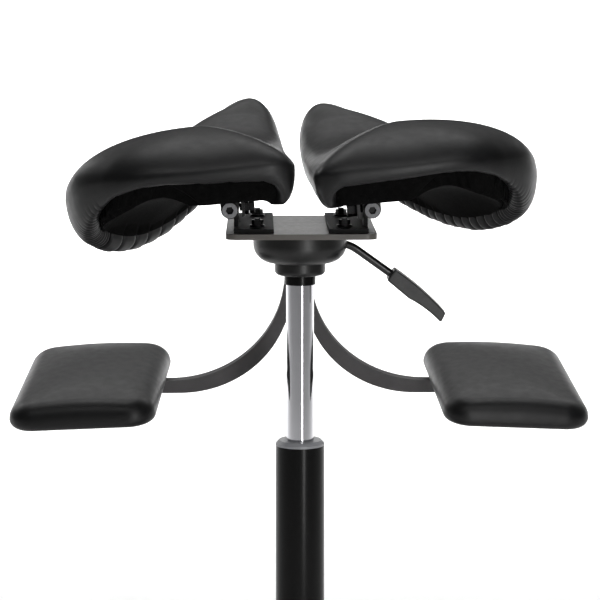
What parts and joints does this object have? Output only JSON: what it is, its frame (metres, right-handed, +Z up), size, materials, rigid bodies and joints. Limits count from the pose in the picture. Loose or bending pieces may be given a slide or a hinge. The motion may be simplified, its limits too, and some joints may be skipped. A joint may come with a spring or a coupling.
{
  "type": "saddle stool",
  "caption": "Saddle stool with a split, tilting leather seat, a gas-lift column with a release lever, padded knee rests on curved arms and a star base on swivel casters.",
  "frame": {"origin": "on the floor under the column's axis", "axes": "+Z up along the column, +Y to the front (the way the sitter faces, towards the knee pads), +X to the sitter's right (the height lever's side)"},
  "size_m": [0.6018, 0.5573, 0.6903],
  "materials": {
    "leather": "satin",
    "dust_cloth": "matte",
    "plywood": "raw",
    "black_enamel": "satin",
    "arm_paint": "matte",
    "black_oxide": "satin",
    "zinc": "bright",
    "chrome": "polished",
    "steel": "ground",
    "black_nylon": "fine texture",
    "grey_bush": "smooth",
    "wheel_plastic": "smooth",
    "rubber": "matte"
  },
  "bodies": {
    "base": {"base_star": "black_nylon", "outer_tube": "black_enamel", "guide_bush": "grey_bush", "thrust_bearing": "steel"},
    "lift_rod": {"piston_rod": "steel", "rod_clip": "steel", "bump_stop": "rubber", "piston_head": "steel"},
    "seat_carrier": {"pressure_tube": "chrome", "tube_gland": "steel", "taper_socket": "black_enamel", "mechanism_cover": "black_nylon", "cover_screws": "black_oxide", "seat_plate": "black_enamel", "lever_bracket": "black_enamel", "lever_pivot_pin": "steel", "hinge_base_left": "black_enamel", "hinge_base_right": "black_enamel", "hinge_base_bolts": "black_oxide", "knee_hanger": "black_enamel", "knee_arm_bolts": "black_oxide", "knee_arm_left": "arm_paint", "knee_arm_right": "arm_paint", "knee_pad_left": "leather", "knee_pad_right": "leather", "knee_board_left": "plywood", "knee_board_right": "plywood", "knee_pad_screws": "zinc"},
    "release_pin": {"release_pin": "steel"},
    "height_lever": {"lever_rod": "black_enamel", "lever_paddle": "black_nylon"},
    "seat_left": {"seat_cushion_left": "leather", "seat_pan_left": "plywood", "seat_dust_cover_left": "dust_cloth", "seat_bracket_left": "zinc", "seat_screws_left": "zinc", "hinge_bolt_left": "zinc", "tilt_clamp_left": "black_oxide"},
    "seat_right": {"seat_cushion_right": "leather", "seat_pan_right": "plywood", "seat_dust_cover_right": "dust_cloth", "seat_bracket_right": "zinc", "seat_screws_right": "zinc", "hinge_bolt_right": "zinc", "tilt_clamp_right": "black_oxide"},
    "caster_1": {"caster_hood_1": "black_nylon", "caster_pins_1": "steel"},
    "wheels_1": {"caster_wheels_1": "wheel_plastic"},
    "caster_2": {"caster_hood_2": "black_nylon", "caster_pins_2": "steel"},
    "wheels_2": {"caster_wheels_2": "wheel_plastic"},
    "caster_3": {"caster_hood_3": "black_nylon", "caster_pins_3": "steel"},
    "wheels_3": {"caster_wheels_3": "wheel_plastic"},
    "caster_4": {"caster_hood_4": "black_nylon", "caster_pins_4": "steel"},
    "wheels_4": {"caster_wheels_4": "wheel_plastic"},
    "caster_5": {"caster_hood_5": "black_nylon", "caster_pins_5": "steel"},
    "wheels_5": {"caster_wheels_5": "wheel_plastic"}
  },
  "joints": [
    {"name": "column_swivel", "type": "hinge", "parent": "base", "child": "lift_rod", "pos_m": [0, 0, 0.2], "axis": [0, 0, 1], "continuous": true},
    {"name": "seat_height", "type": "slide", "parent": "lift_rod", "child": "seat_carrier", "axis": [0, 0, 1], "range_m": [-0.15, 0.05]},
    {"name": "lever_lift", "type": "hinge", "parent": "seat_carrier", "child": "height_lever", "pos_m": [0.022, 0, 0.5515], "axis": [0, -1, 0], "range_deg": [0, 8], "stiffness_Nm_per_rad": 1.2, "springref_deg": -6.88},
    {"name": "release_press", "type": "slide", "parent": "seat_carrier", "child": "release_pin", "axis": [0, 0, -1], "range_m": [0, 0.00308]},
    {"name": "seat_tilt_left", "type": "hinge", "parent": "seat_carrier", "child": "seat_left", "pos_m": [-0.07, 0, 0.591], "axis": [0, 1, 0], "range_deg": [-3, 13]},
    {"name": "seat_tilt_right", "type": "hinge", "parent": "seat_carrier", "child": "seat_right", "pos_m": [0.07, 0, 0.591], "axis": [0, 1, 0], "range_deg": [-3, 13]},
    {"name": "caster_swivel_1", "type": "hinge", "parent": "base", "child": "caster_1", "pos_m": [0, 0.285, 0.06], "axis": [0, 0, 1], "continuous": true},
    {"name": "wheel_roll_1", "type": "hinge", "parent": "caster_1", "child": "wheels_1", "pos_m": [0, 0.267, 0.025], "axis": [-1, 0, 0], "continuous": true},
    {"name": "caster_swivel_2", "type": "hinge", "parent": "base", "child": "caster_2", "pos_m": [-0.27105, 0.08807, 0.06], "axis": [0, 0, 1], "continuous": true},
    {"name": "wheel_roll_2", "type": "hinge", "parent": "caster_2", "child": "wheels_2", "pos_m": [-0.25393, 0.08251, 0.025], "axis": [-0.309, -0.9511, 0], "continuous": true},
    {"name": "caster_swivel_3", "type": "hinge", "parent": "base", "child": "caster_3", "pos_m": [-0.16752, -0.23057, 0.06], "axis": [0, 0, 1], "continuous": true},
    {"name": "wheel_roll_3", "type": "hinge", "parent": "caster_3", "child": "wheels_3", "pos_m": [-0.15694, -0.21601, 0.025], "axis": [0.809, -0.5878, 0], "continuous": true},
    {"name": "caster_swivel_4", "type": "hinge", "parent": "base", "child": "caster_4", "pos_m": [0.16752, -0.23057, 0.06], "axis": [0, 0, 1], "continuous": true},
    {"name": "wheel_roll_4", "type": "hinge", "parent": "caster_4", "child": "wheels_4", "pos_m": [0.15694, -0.21601, 0.025], "axis": [0.809, 0.5878, 0], "continuous": true},
    {"name": "caster_swivel_5", "type": "hinge", "parent": "base", "child": "caster_5", "pos_m": [0.27105, 0.08807, 0.06], "axis": [0, 0, 1], "continuous": true},
    {"name": "wheel_roll_5", "type": "hinge", "parent": "caster_5", "child": "wheels_5", "pos_m": [0.25393, 0.08251, 0.025], "axis": [-0.309, 0.9511, 0], "continuous": true}
  ],
  "couplings": [
    {"joint": "release_press", "follows": "lever_lift", "m_per_rad": 0.022}
  ]
}
